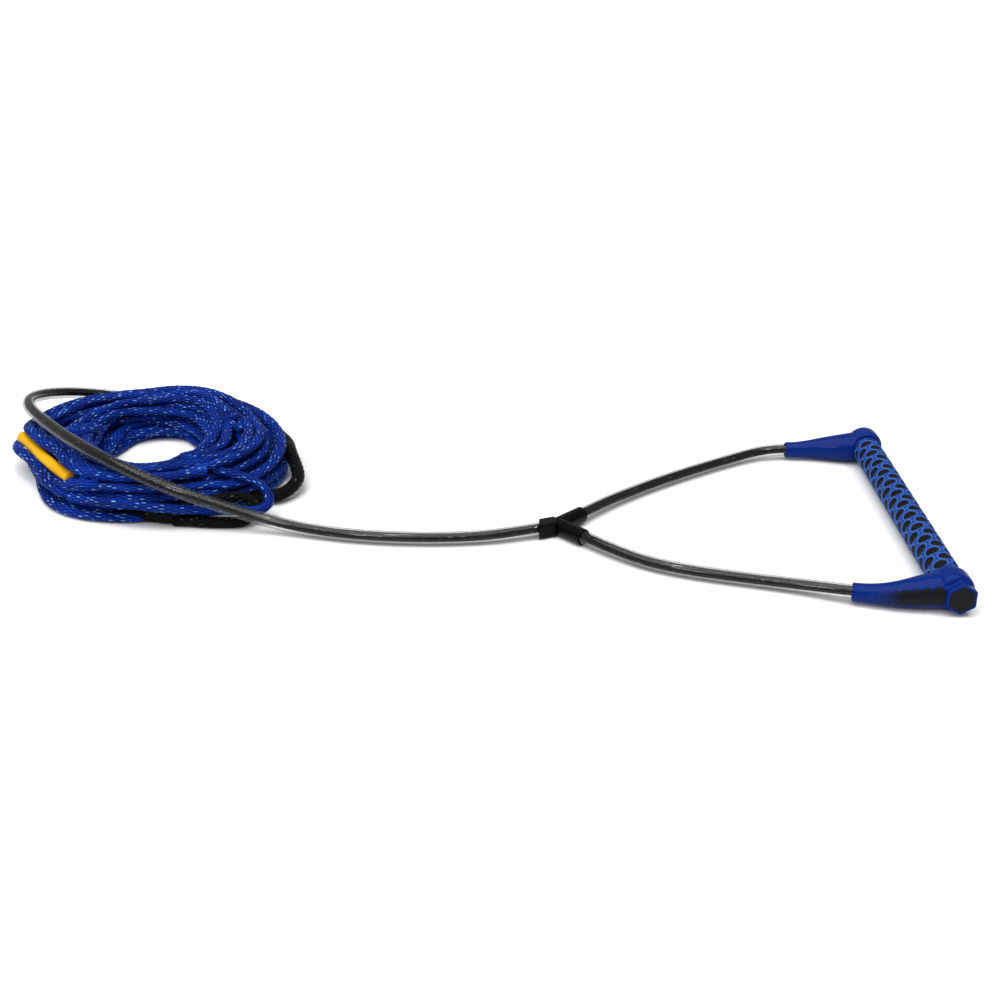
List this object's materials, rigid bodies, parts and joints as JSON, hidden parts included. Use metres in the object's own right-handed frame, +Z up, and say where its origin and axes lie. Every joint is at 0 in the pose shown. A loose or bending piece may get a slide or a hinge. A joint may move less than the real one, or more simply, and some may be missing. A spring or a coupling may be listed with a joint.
{
  "type": "tow rope handle",
  "caption": "Water-sports tow handle: padded bar with moulded end caps, tubed rope bridle with a yoke, tubed trunk and a coiled braided main line.",
  "frame": {"origin": "on the surface it lies on, at the middle of the bar with its two end caps", "axes": "+X from the coiled line towards the bar, +Y along the bar, +Z up"},
  "size_m": [0.9532, 0.507, 0.0681],
  "materials": {
    "cap_rubber": "glossy moulded rubber",
    "inlay_black": "satin",
    "grip_blue": "matte foam rubber",
    "grip_black": "matte foam rubber",
    "bar_aluminium": "drawn",
    "plug_nylon": "moulded",
    "clear_vinyl": "clear flexible tube",
    "black_rope": "braided",
    "blue_rope": "hollow braid, slightly shiny",
    "yoke_rubber": "glossy",
    "yellow_vinyl": "satin"
  },
  "bodies": {
    "line": {"trunk_tube": "clear_vinyl", "trunk_rope": "black_rope", "tail_rope": "black_rope", "tail_splice": "black_rope", "tail_eye": "black_rope", "line_hitch": "blue_rope", "line_tag": "yellow_vinyl", "line_join_1": "blue_rope", "line_join_2": "blue_rope", "line_join_3": "blue_rope", "line_join_4": "blue_rope", "mainline_coil": "blue_rope"},
    "bridle": {"yoke_sleeve_trunk": "yoke_rubber", "yoke_sleeve_left": "yoke_rubber", "yoke_sleeve_right": "yoke_rubber", "throat_splice": "black_rope", "leg_tube_left": "clear_vinyl", "leg_tube_right": "clear_vinyl", "leg_rope_left": "black_rope", "leg_rope_right": "black_rope"},
    "handle": {"bar_tube": "bar_aluminium", "grip_core": "grip_black", "grip_web": "grip_blue", "bar_rope": "black_rope", "bar_plug_left": "plug_nylon", "cap_left": "cap_rubber", "cap_inlay_left": "inlay_black", "bar_plug_right": "plug_nylon", "cap_right": "cap_rubber", "cap_inlay_right": "inlay_black"}
  },
  "joints": [
    {"name": "bridle_lift", "type": "hinge", "parent": "line", "child": "bridle", "pos_m": [-0.327, -0.0306, 0.0083], "axis": [0, -1, 0], "range_deg": [0, 50], "deforming": ["trunk_tube", "trunk_rope"]},
    {"name": "handle_tilt", "type": "hinge", "parent": "bridle", "child": "handle", "pos_m": [-0.052, 0, 0.0105], "axis": [0, -1, 0], "range_deg": [0, 75], "deforming": ["leg_tube_left", "leg_tube_right", "leg_rope_left", "leg_rope_right"]}
  ]
}
